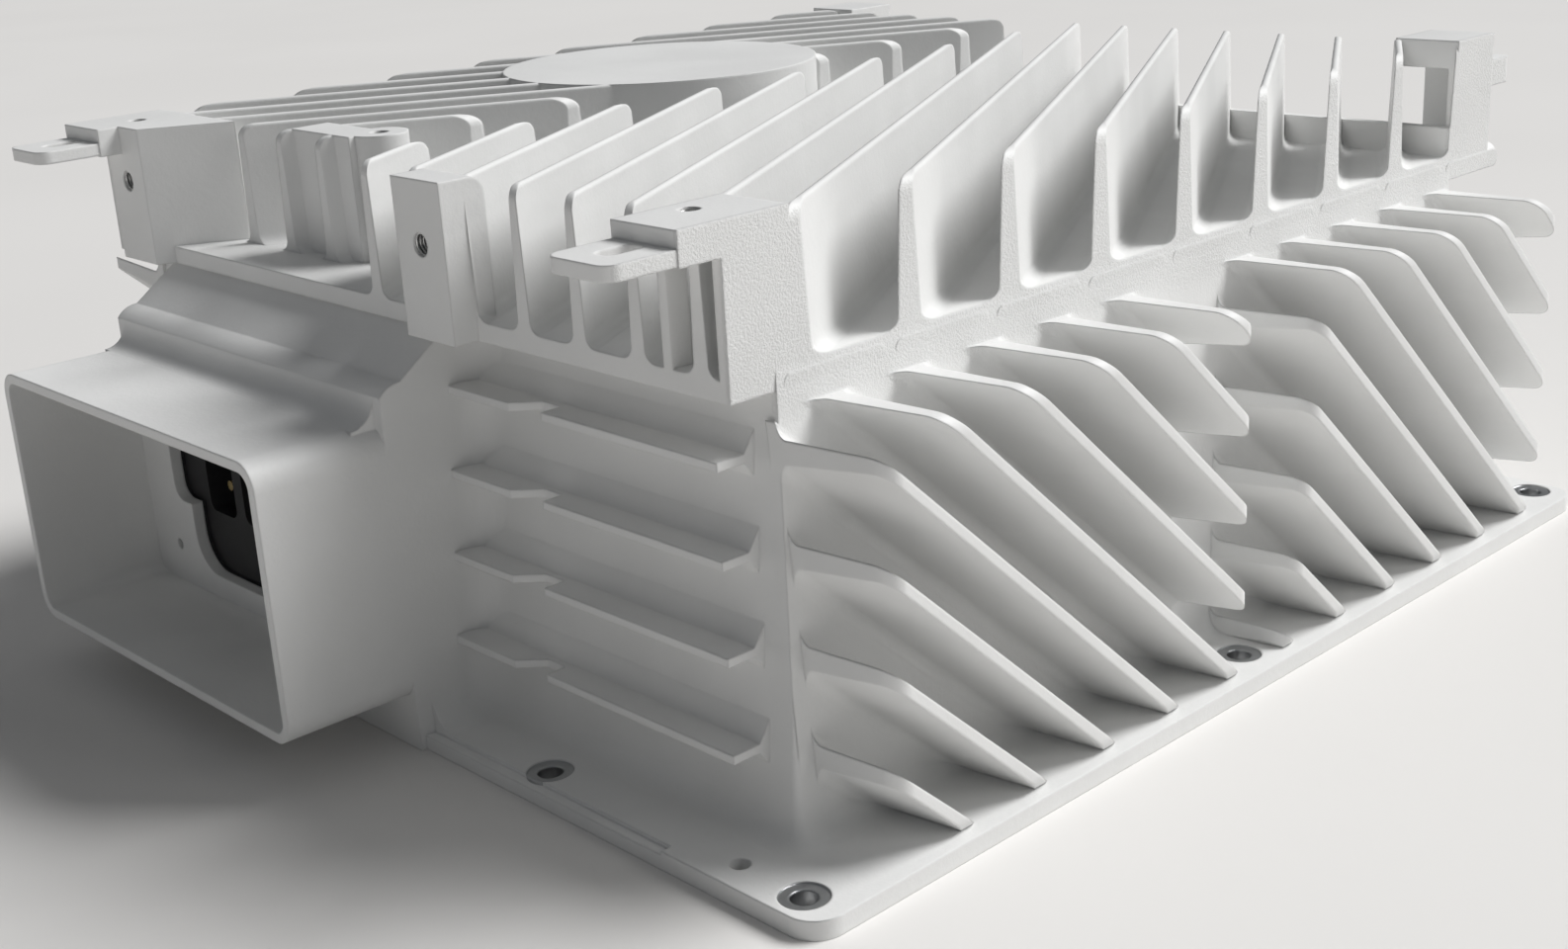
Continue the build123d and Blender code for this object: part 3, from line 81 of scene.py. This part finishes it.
flange_holes = pattern_places("flange_corners") + pattern_places("flange_sides")
flange_holes += pattern_places("flange_rear") + [mount_place("flange_front")]
print("flange holes:", len(flange_holes), "height:", round(housing_high.z / MM, 1), "mm")

# %% [markdown]
# Shader groups come first.  A group is a recipe used by more than one finish, here with
# its inputs named in the words of the trade.  Groups only hand out values and
# normals; the Principled shader itself always stays in the material.

# %% Helpers for building node trees
def new_group(name, inputs, outputs):
    """An empty shader group with its sockets, its input node and its output node."""
    group = bpy.data.node_groups.new(name, "ShaderNodeTree")
    for label, kind, value in inputs:
        socket = group.interface.new_socket(label, in_out="INPUT", socket_type=kind)
        if kind == "NodeSocketFloat":
            socket.default_value = value
    for label, kind in outputs:
        group.interface.new_socket(label, in_out="OUTPUT", socket_type=kind)
    return group, group.nodes.new("NodeGroupInput"), group.nodes.new("NodeGroupOutput")


def node(tree, kind, **settings):
    """A node with some of its settings given by name."""
    made = tree.nodes.new(kind)
    for key, value in settings.items():
        setattr(made, key, value)
    return made


def math_node(tree, operation, first, second=None, third=None):
    """A Math node; each operand is a number or a socket.  Returns the output socket."""
    made = node(tree, "ShaderNodeMath", operation=operation)
    for index, operand in enumerate((first, second, third)):
        if operand is None:
            continue
        if isinstance(operand, (int, float)):
            made.inputs[index].default_value = operand
        else:
            tree.links.new(operand, made.inputs[index])
    return made.outputs[0]


def mix_colour(tree, factor, first, second):
    """A Mix node set to colours; each operand is a colour tuple or a socket."""
    made = node(tree, "ShaderNodeMix", data_type="RGBA")
    for index, operand in ((0, factor), (6, first), (7, second)):
        socket = made.inputs[index]
        if isinstance(operand, (int, float, tuple)):
            socket.default_value = operand
        else:
            tree.links.new(operand, socket)
    return made.outputs[2]


def ramp(tree, value, low, high):
    """A clean smooth step from 0 at low to 1 at high."""
    made = node(tree, "ShaderNodeMapRange", interpolation_type="SMOOTHSTEP")
    tree.links.new(value, made.inputs["Value"])
    made.inputs["From Min"].default_value = low
    made.inputs["From Max"].default_value = high
    return made.outputs["Result"]


def noise(tree, place, scale, detail=3.0, roughness=0.5):
    """Noise with its scale in bumps per metre."""
    made = node(tree, "ShaderNodeTexNoise")
    tree.links.new(place, made.inputs["Vector"])
    made.inputs["Scale"].default_value = scale
    made.inputs["Detail"].default_value = detail
    made.inputs["Roughness"].default_value = roughness
    return made.outputs["Fac"]


# %% [markdown]
# Powder coat is sprayed as dust and melted in an oven, so it keeps the skin of a fine
# orange peel, and over the rough faces of the casting it keeps their sandy grain.  The
# group sums two noises, one broad and one fine, and adds the sand where it is asked to.

# %% Group: the relief of the coat
def coat_relief_group():
    """Height of the coat: two noises, one broad and one of sand."""
    group, given, result = new_group(
        "coat relief",
        [("Place", "NodeSocketVector", None), ("Peel size", "NodeSocketFloat", 420.0),
         ("Sand", "NodeSocketFloat", 0.0)],
        [("Height", "NodeSocketFloat")])
    peel_noise = node(group, "ShaderNodeTexNoise")
    peel_noise.inputs["Detail"].default_value = 2.0
    group.links.new(given.outputs["Place"], peel_noise.inputs["Vector"])
    group.links.new(given.outputs["Peel size"], peel_noise.inputs["Scale"])
    sand = noise(group, given.outputs["Place"], 1500.0, 4.0, 0.65)
    sand_height = math_node(group, "MULTIPLY", sand, given.outputs["Sand"])
    peel_height = math_node(group, "MULTIPLY", peel_noise.outputs["Fac"], 0.35)
    total = math_node(group, "ADD", peel_height, sand_height)
    group.links.new(total, result.inputs["Height"])
    return group


coat_relief = coat_relief_group()

# %% [markdown]
# Corners catch light differently from flats.  Pointiness would need a dense
# mesh, and these walls are large flat triangles, so the group compares the true normal
# with a normal rounded over a small radius: where they differ there is an edge.  The
# rounded normal softens the edges, and the edge mask carries a painted highlight along them.

# %% Group: edges and hollows
def edge_group():
    """How near an edge is, which feeds a painted highlight, and a normal rounded over it."""
    group, given, result = new_group(
        "edge rounding and painted highlight",
        [("Reach", "NodeSocketFloat", 0.0012)],
        [("Edge", "NodeSocketFloat"), ("Normal", "NodeSocketVector")])
    bevel = node(group, "ShaderNodeBevel", samples=6)
    group.links.new(given.outputs["Reach"], bevel.inputs["Radius"])
    geometry = node(group, "ShaderNodeNewGeometry")
    dot = node(group, "ShaderNodeVectorMath", operation="DOT_PRODUCT")
    group.links.new(bevel.outputs["Normal"], dot.inputs[0])
    group.links.new(geometry.outputs["Normal"], dot.inputs[1])
    flat = math_node(group, "SUBTRACT", 1.0, dot.outputs["Value"])
    edge = math_node(group, "MULTIPLY", flat, 3.0)
    group.links.new(math_node(group, "MINIMUM", edge, 1.0), result.inputs["Edge"])
    group.links.new(bevel.outputs["Normal"], result.inputs["Normal"])
    return group


edge_rounding_and_highlight = edge_group()


# %% Start a material
def new_material(name):
    """A material with its Principled shader and Object coordinates at hand."""
    material = bpy.data.materials.new(name)
    material.use_nodes = True
    tree = material.node_tree
    shader = tree.nodes["Principled BSDF"]
    place = node(tree, "ShaderNodeTexCoord").outputs["Object"]
    return material, tree, shader, place


def bump_into(tree, shader, height, strength, distance, normal=None):
    """Send a height through a Bump node to the shader's normal."""
    bump = node(tree, "ShaderNodeBump")
    bump.inputs["Strength"].default_value = strength
    bump.inputs["Distance"].default_value = distance
    tree.links.new(height, bump.inputs["Height"])
    if normal is not None:
        tree.links.new(normal, bump.inputs["Normal"])
    tree.links.new(bump.outputs["Normal"], shader.inputs["Normal"])


# %% [markdown]
# The coat is a light, almost neutral grey.  Where the mould's sliding cores met, the outer faces
# of the corners and the wall just under the deck came out grainy, and the coat follows
# that grain.  The seats round the screw holes were milled after coating, so there the
# same skin turns into bare bright aluminium with fine turning marks.

# %% Finish: powder-coated casting
face_inset = 36.5 * MM
side_face_x = housing_high.x - face_inset
grain_low = 96.0 * MM
grain_fade = 14.0 * MM
seat_radius = 6.02 * MM
seat_top = 4.7 * MM
seat_floor = 0.2 * MM
turning_rings = 21000.0
edge_reach = 0.9 * MM


def seat_mask(tree, place):
    """1 on the milled rings round the flange holes, and the distance to the nearest one."""
    folded = node(tree, "ShaderNodeVectorMath", operation="ABSOLUTE")
    tree.links.new(place, folded.inputs[0])
    level = node(tree, "ShaderNodeVectorMath", operation="MULTIPLY")
    tree.links.new(folded.outputs[0], level.inputs[0])
    level.inputs[1].default_value = (1, 1, 0)
    nearest = None
    seen = sorted({(round(abs(hole.x), 5), round(abs(hole.y), 5)) for hole in flange_holes})
    for x, y in seen:
        distance = node(tree, "ShaderNodeVectorMath", operation="DISTANCE")
        tree.links.new(level.outputs[0], distance.inputs[0])
        distance.inputs[1].default_value = (x, y, 0)
        reach = distance.outputs["Value"]
        nearest = reach if nearest is None else math_node(tree, "MINIMUM", nearest, reach)
    split = node(tree, "ShaderNodeSeparateXYZ")
    tree.links.new(place, split.inputs[0])
    inside = math_node(tree, "LESS_THAN", nearest, seat_radius)
    low = math_node(tree, "LESS_THAN", split.outputs["Z"], seat_top)
    above = math_node(tree, "GREATER_THAN", split.outputs["Z"], seat_floor)
    return math_node(tree, "MULTIPLY", math_node(tree, "MULTIPLY", inside, low), above), nearest


def cast_coat_material():
    """Off-white coat with a painted highlight on its edges, sandy on the corners' outer faces, bare metal on
    the milled seats.
    """
    material, tree, shader, place = new_material("cast coat")
    split = node(tree, "ShaderNodeSeparateXYZ")
    tree.links.new(place, split.inputs[0])
    side = math_node(tree, "ABSOLUTE", split.outputs["X"])
    outer = ramp(tree, side, side_face_x - 1.2 * MM, side_face_x - 0.4 * MM)
    not_fin = ramp(tree, side, side_face_x + 4 * MM, side_face_x + 2 * MM)
    high = ramp(tree, split.outputs["Z"], grain_low, grain_low + grain_fade)
    grain = math_node(tree, "MULTIPLY", math_node(tree, "MULTIPLY", outer, high), not_fin)
    sand_amount = math_node(tree, "MULTIPLY_ADD", grain, 2.2, 0.2)

    relief = node(tree, "ShaderNodeGroup", node_tree=coat_relief)
    tree.links.new(place, relief.inputs["Place"])
    relief.inputs["Peel size"].default_value = 520.0
    tree.links.new(sand_amount, relief.inputs["Sand"])
    edges = node(tree, "ShaderNodeGroup", node_tree=edge_rounding_and_highlight)
    edges.inputs["Reach"].default_value = edge_reach
    bump_into(tree, shader, relief.outputs["Height"], 0.5, 0.4 * MM, edges.outputs["Normal"])

    blotch = noise(tree, place, 26.0, 3.0)
    base = mix_colour(tree, ramp(tree, blotch, 0.35, 0.7), (0.80, 0.80, 0.79, 1), (0.84, 0.84, 0.83, 1))
    speck = ramp(tree, noise(tree, place, 1900.0, 1.0), 0.72, 0.8)
    base = mix_colour(tree, math_node(tree, "MULTIPLY", speck, 0.25), base, (0.62, 0.61, 0.58, 1))
    # Painted highlight: near edges the coat is mixed toward a lighter white, in place of the light that
    # rounded edges catch.
    painted_edge_highlight = math_node(tree, "MULTIPLY", edges.outputs["Edge"], 0.4)
    base = mix_colour(tree, painted_edge_highlight, base, (0.9, 0.9, 0.89, 1))
    seat, radius = seat_mask(tree, place)
    base = mix_colour(tree, seat, base, (0.46, 0.47, 0.48, 1))
    tree.links.new(base, shader.inputs["Base Color"])
    tree.links.new(seat, shader.inputs["Metallic"])
    coat_rough = math_node(tree, "MULTIPLY_ADD", blotch, 0.12, 0.46)
    turned = math_node(tree, "SINE", math_node(tree, "MULTIPLY", radius, turning_rings))
    seat_rough = math_node(tree, "MULTIPLY_ADD", turned, 0.08, 0.36)
    rough = node(tree, "ShaderNodeMix", data_type="FLOAT")
    tree.links.new(seat, rough.inputs[0])
    tree.links.new(coat_rough, rough.inputs[2])
    tree.links.new(seat_rough, rough.inputs[3])
    tree.links.new(rough.outputs[0], shader.inputs["Roughness"])
    return material


def dress(names, material):
    """Give CAD pieces a finish by filling their material slots."""
    for name in names:
        mesh = frame["nodes"][name].data
        mesh.materials.clear()
        mesh.materials.append(material)


dress(["housing"], cast_coat_material())
print("coated: housing")


# %% [markdown]
# Inside, and under the cover, every piece gets the finish of its trade: sheet metal,
# rubber, moulded plastic, brass, ferrite, copper wire and solder mask.  One function
# takes a base colour, a second tone and a grain size, so that none of them is one
# flat colour, and each finish only differs in its values.

# %% Finish: everyday materials
def plain_finish(name, colour, second, grain, rough, metallic=0.0,
                 relief=0.2, depth=0.1, stretch=(1, 1, 1)):
    """A two-tone finish with noise relief; grain is in bumps per metre, depth in millimetres."""
    material, tree, shader, place = new_material(name)
    mapping = node(tree, "ShaderNodeMapping")
    tree.links.new(place, mapping.inputs["Vector"])
    mapping.inputs["Scale"].default_value = stretch
    pattern = noise(tree, mapping.outputs["Vector"], grain, 4.0)
    broad = noise(tree, place, grain / 12, 2.0)
    tone = math_node(tree, "MULTIPLY", ramp(tree, pattern, 0.35, 0.7), ramp(tree, broad, 0.2, 0.8))
    base = mix_colour(tree, tone, (*colour, 1), (*second, 1))
    tree.links.new(base, shader.inputs["Base Color"])
    shader.inputs["Metallic"].default_value = metallic
    tree.links.new(math_node(tree, "MULTIPLY_ADD", pattern, 0.16, rough - 0.08), shader.inputs["Roughness"])
    bump_into(tree, shader, pattern, relief, depth * MM)
    return material


finishes = {
    "cover_metal": plain_finish("cover sheet", (0.60, 0.61, 0.62), (0.67, 0.68, 0.69), 1200, 0.38, 1.0,
                                0.12, 0.05, (1, 0.02, 1)),
    "seal": plain_finish("seal rubber", (0.02, 0.02, 0.021), (0.035, 0.035, 0.036), 1500, 0.8),
    "screw_steel": plain_finish("zinc steel", (0.52, 0.52, 0.50), (0.62, 0.61, 0.57), 2500, 0.32, 1.0),
    "membrane": plain_finish("vent film", (0.85, 0.85, 0.84), (0.75, 0.75, 0.74), 4000, 0.7),
    "black_plastic": plain_finish("filled plastic", (0.012, 0.012, 0.013), (0.022, 0.022, 0.024), 3000, 0.55),
    "green_plastic": plain_finish("green plastic", (0.03, 0.26, 0.10), (0.04, 0.31, 0.13), 2500, 0.5),
    "contact_brass": plain_finish("turned brass", (0.74, 0.56, 0.25), (0.80, 0.63, 0.33), 3000, 0.25, 1.0),
    "board_green": plain_finish("solder mask", (0.008, 0.11, 0.035), (0.012, 0.15, 0.05), 900, 0.3),
    "ferrite": plain_finish("ferrite", (0.035, 0.035, 0.038), (0.06, 0.058, 0.06), 2200, 0.62),
    "copper_wire": plain_finish("enamelled copper", (0.45, 0.13, 0.05), (0.58, 0.2, 0.08), 1800, 0.28, 0.7),
    "thermal_pad": plain_finish("gap filler", (0.25, 0.34, 0.42), (0.30, 0.40, 0.47), 1800, 0.75),
    "capacitor_sleeve": plain_finish("capacitor sleeve", (0.01, 0.018, 0.06), (0.016, 0.026, 0.08), 700, 0.3),
    "film_case": plain_finish("film capacitor case", (0.52, 0.42, 0.20), (0.58, 0.48, 0.25), 1600, 0.42),
    "relay_case": plain_finish("relay case", (0.02, 0.03, 0.045), (0.03, 0.042, 0.06), 1500, 0.4),
    "varistor_coat": plain_finish("dipped epoxy", (0.01, 0.045, 0.28), (0.015, 0.06, 0.34), 1200, 0.35),
    "fuse_body": plain_finish("glazed ceramic", (0.76, 0.75, 0.70), (0.82, 0.81, 0.77), 900, 0.25),
    "chip_epoxy": plain_finish("chip epoxy", (0.014, 0.014, 0.015), (0.024, 0.024, 0.026), 4200, 0.6),
    "shield_can": plain_finish("tinned sheet", (0.60, 0.60, 0.57), (0.68, 0.68, 0.65), 1500, 0.3, 1.0),
    "clamp_spring": plain_finish("rolled strip", (0.45, 0.45, 0.46), (0.53, 0.53, 0.54), 1800, 0.35, 1.0,
                                 0.15, 0.05, (0.05, 1, 1)),
}
for part in frame["record"]["subparts"]:
    if part["material_slot"] in finishes:
        dress([part["node"]], finishes[part["material_slot"]])
print("finishes:", len(finishes) + 1)

# %% [markdown]
# The posts, corner plates and middle boss are tapped, and the turns of the thread show
# bright inside their mouths.  A thread is one ridge that climbs at a fixed pitch, which
# is a rule, so Geometry Nodes draw it: a spiral swept with a small four-sided ridge, then
# set at every mouth.  The ridge is sunk a little into the bore's wall, so no gap shows.

# %% Thread turns
def thread_tree():
    """Geometry tree: one thread at each point of the piece it is put on."""
    tree = bpy.data.node_groups.new("thread turns", "GeometryNodeTree")
    tree.interface.new_socket("Geometry", in_out="INPUT", socket_type="NodeSocketGeometry")
    for label, value in (("Thread radius", 0.0), ("Pitch", 0.0), ("Turns", 0.0), ("Ridge", 0.0)):
        tree.interface.new_socket(label, in_out="INPUT", socket_type="NodeSocketFloat").default_value = value
    tree.interface.new_socket("Lean", in_out="INPUT", socket_type="NodeSocketVector")
    tree.interface.new_socket("Finish", in_out="INPUT", socket_type="NodeSocketMaterial")
    tree.interface.new_socket("Geometry", in_out="OUTPUT", socket_type="NodeSocketGeometry")
    given = tree.nodes.new("NodeGroupInput")
    result = tree.nodes.new("NodeGroupOutput")
    spiral = tree.nodes.new("GeometryNodeCurveSpiral")
    spiral.inputs["Resolution"].default_value = 28
    tree.links.new(given.outputs["Turns"], spiral.inputs["Rotations"])
    tree.links.new(given.outputs["Thread radius"], spiral.inputs["Start Radius"])
    tree.links.new(given.outputs["Thread radius"], spiral.inputs["End Radius"])
    tree.links.new(math_node(tree, "MULTIPLY", given.outputs["Pitch"], given.outputs["Turns"]),
                   spiral.inputs["Height"])
    ridge = tree.nodes.new("GeometryNodeCurvePrimitiveCircle")
    ridge.inputs["Resolution"].default_value = 4
    tree.links.new(given.outputs["Ridge"], ridge.inputs["Radius"])
    sweep = tree.nodes.new("GeometryNodeCurveToMesh")
    sweep.inputs["Fill Caps"].default_value = True
    tree.links.new(spiral.outputs["Curve"], sweep.inputs["Curve"])
    tree.links.new(ridge.outputs["Curve"], sweep.inputs["Profile Curve"])
    spread = tree.nodes.new("GeometryNodeInstanceOnPoints")
    tree.links.new(given.outputs["Geometry"], spread.inputs["Points"])
    tree.links.new(sweep.outputs["Mesh"], spread.inputs["Instance"])
    tree.links.new(given.outputs["Lean"], spread.inputs["Rotation"])
    real = tree.nodes.new("GeometryNodeRealizeInstances")
    tree.links.new(spread.outputs["Instances"], real.inputs["Geometry"])
    finish = tree.nodes.new("GeometryNodeSetMaterial")
    tree.links.new(real.outputs["Geometry"], finish.inputs["Geometry"])
    tree.links.new(given.outputs["Finish"], finish.inputs["Material"])
    tree.links.new(finish.outputs["Geometry"], result.inputs["Geometry"])
    return tree


def grown_piece(name, tree, points, values):
    """Run a geometry tree on bare points and keep its result as a plain mesh."""
    seed_mesh = bpy.data.meshes.new(name + " seed")
    seed_mesh.from_pydata([tuple(point) for point in points], [], [])
    seed = bpy.data.objects.new(name + " seed", seed_mesh)
    bpy.context.scene.collection.objects.link(seed)
    modifier = seed.modifiers.new("turns", "NODES")
    modifier.node_group = tree
    for item in tree.interface.items_tree:
        if item.in_out == "INPUT" and item.name in values:
            modifier[item.identifier] = values[item.name]
    ready = seed.evaluated_get(bpy.context.evaluated_depsgraph_get())
    mesh = bpy.data.meshes.new_from_object(ready)
    bpy.data.objects.remove(seed)
    tidy = bmesh.new()
    tidy.from_mesh(mesh)
    bmesh.ops.recalc_face_normals(tidy, faces=tidy.faces)
    tidy.to_mesh(mesh)
    tidy.free()
    piece = bpy.data.objects.new(name, mesh)
    bpy.context.scene.collection.objects.link(piece)
    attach(piece, "root")
    print(name, "faces:", len(mesh.polygons))


threads = thread_tree()
cut_metal = plain_finish("freshly cut aluminium", (0.62, 0.62, 0.61), (0.78, 0.78, 0.77), 3500, 0.3, 1.0)
mouth_setback = 0.4 * MM
post_radius = 2.78 * MM
post_pitch = 1.0 * MM
post_turns = 11.0
post_ridge = 0.42 * MM
post_mouths = [mount_place("front_post_right"), mount_place("front_post_left")]
grown_piece("post_threads", threads, [mouth + Vector((0, mouth_setback, 0)) for mouth in post_mouths],
            {"Thread radius": post_radius, "Pitch": post_pitch, "Turns": post_turns, "Ridge": post_ridge,
             "Lean": (-math.pi / 2, 0, 0), "Finish": cut_metal})
top_pitch = 0.8 * MM
top_turns = 9.0
top_radius = 2.32 * MM
top_ridge = 0.34 * MM
top_mouths = pattern_places("top_plate_holes") + [mount_place("middle_boss")]
top_foot = Vector((0, 0, -top_pitch * top_turns - mouth_setback))
grown_piece("top_threads", threads, [mouth + top_foot for mouth in top_mouths],
            {"Thread radius": top_radius, "Pitch": top_pitch, "Turns": top_turns, "Ridge": top_ridge,
             "Lean": (0.0, 0.0, 0.0), "Finish": cut_metal})

# %% [markdown]
# The floor is a broad pale sheet.  An even sky alone would flatten white paint, so most
# of the light is one wide, soft sun, high up behind and to the right.  The top is bright
# under it and the right side is half lit.  The front end stays in shade, where only the
# weak sky and the light off the floor reach it.  A small panel lifts the side fins.  The
# plain Standard view keeps white paint white, where a filmic one would grey it.

# %% Floor and light
floor_half = 20.0


def make_floor():
    """A broad flat sheet under the object."""
    mesh = bpy.data.meshes.new("floor")
    build = bmesh.new()
    bmesh.ops.create_grid(build, x_segments=2, y_segments=2, size=floor_half)
    build.to_mesh(mesh)
    build.free()
    floor = bpy.data.objects.new("floor", mesh)
    bpy.context.scene.collection.objects.link(floor)
    material, tree, shader, place = new_material("studio floor")
    tone = ramp(tree, noise(tree, place, 3.0, 2.0), 0.3, 0.7)
    base = mix_colour(tree, tone, (0.80, 0.785, 0.765, 1), (0.82, 0.805, 0.785, 1))
    tree.links.new(base, shader.inputs["Base Color"])
    shader.inputs["Roughness"].default_value = 0.8
    mesh.materials.append(material)


def area_light(name, place, target, size, power, colour):
    """A rectangular panel that faces a target."""
    lamp = bpy.data.lights.new(name, "AREA")
    lamp.shape = "RECTANGLE"
    lamp.size, lamp.size_y = size
    lamp.energy = power
    lamp.color = colour
    made = bpy.data.objects.new(name, lamp)
    made.location = place
    made.rotation_euler = (Vector(target) - Vector(place)).to_track_quat("-Z", "Y").to_euler()
    bpy.context.scene.collection.objects.link(made)


def soft_sun(name, towards, strength, spread):
    """Even light from one direction; spread is its width in degrees, which softens shadows."""
    lamp = bpy.data.lights.new(name, "SUN")
    lamp.energy = strength
    lamp.angle = math.radians(spread)
    made = bpy.data.objects.new(name, lamp)
    made.rotation_euler = Vector(towards).to_track_quat("Z", "Y").to_euler()
    bpy.context.scene.collection.objects.link(made)


make_floor()
world = bpy.data.worlds.new("studio")
bpy.context.scene.world = world
world.use_nodes = True
world.node_tree.nodes["Background"].inputs["Color"].default_value = (0.93, 0.96, 1.0, 1)
world.node_tree.nodes["Background"].inputs["Strength"].default_value = 0.15
soft_sun("soft sun", (0.42, 0.75, 0.95), 3.15, 30.0)
area_light("side panel", (1.3, 0.35, 0.7), (0.15, 0, 0.06), (0.5, 0.4), 1.5, (1.0, 0.99, 0.97))
bpy.context.scene.view_settings.view_transform = "Standard"

# %% [markdown]
# The camera stands in front and to the right, a little above the fins, and looks down
# across the near corner.  Its place is in millimetres and its turns are in degrees.  The
# object fills the frame, so a lens a little longer than normal is enough, with no shift.

# %% Camera
def make_camera():
    """The one camera, placed in millimetres and turned in degrees."""
    lens_data = bpy.data.cameras.new("camera")
    lens_data.sensor_width = 36.0
    lens_data.lens = 45.67
    lens_data.clip_start = 0.01
    camera = bpy.data.objects.new("camera", lens_data)
    heading = math.radians(47.1)
    pitch = math.radians(-18.9)
    roll = math.radians(-3.22)
    turn = Matrix.Rotation(heading, 4, "Z") @ Matrix.Rotation(math.pi / 2 + pitch, 4, "X")
    turn = turn @ Matrix.Rotation(roll, 4, "Z")
    stand = Vector((442.3, -422.1, 231.3)) * MM
    camera.matrix_world = Matrix.Translation(stand) @ turn
    bpy.context.scene.collection.objects.link(camera)
    bpy.context.scene.camera = camera


make_camera()
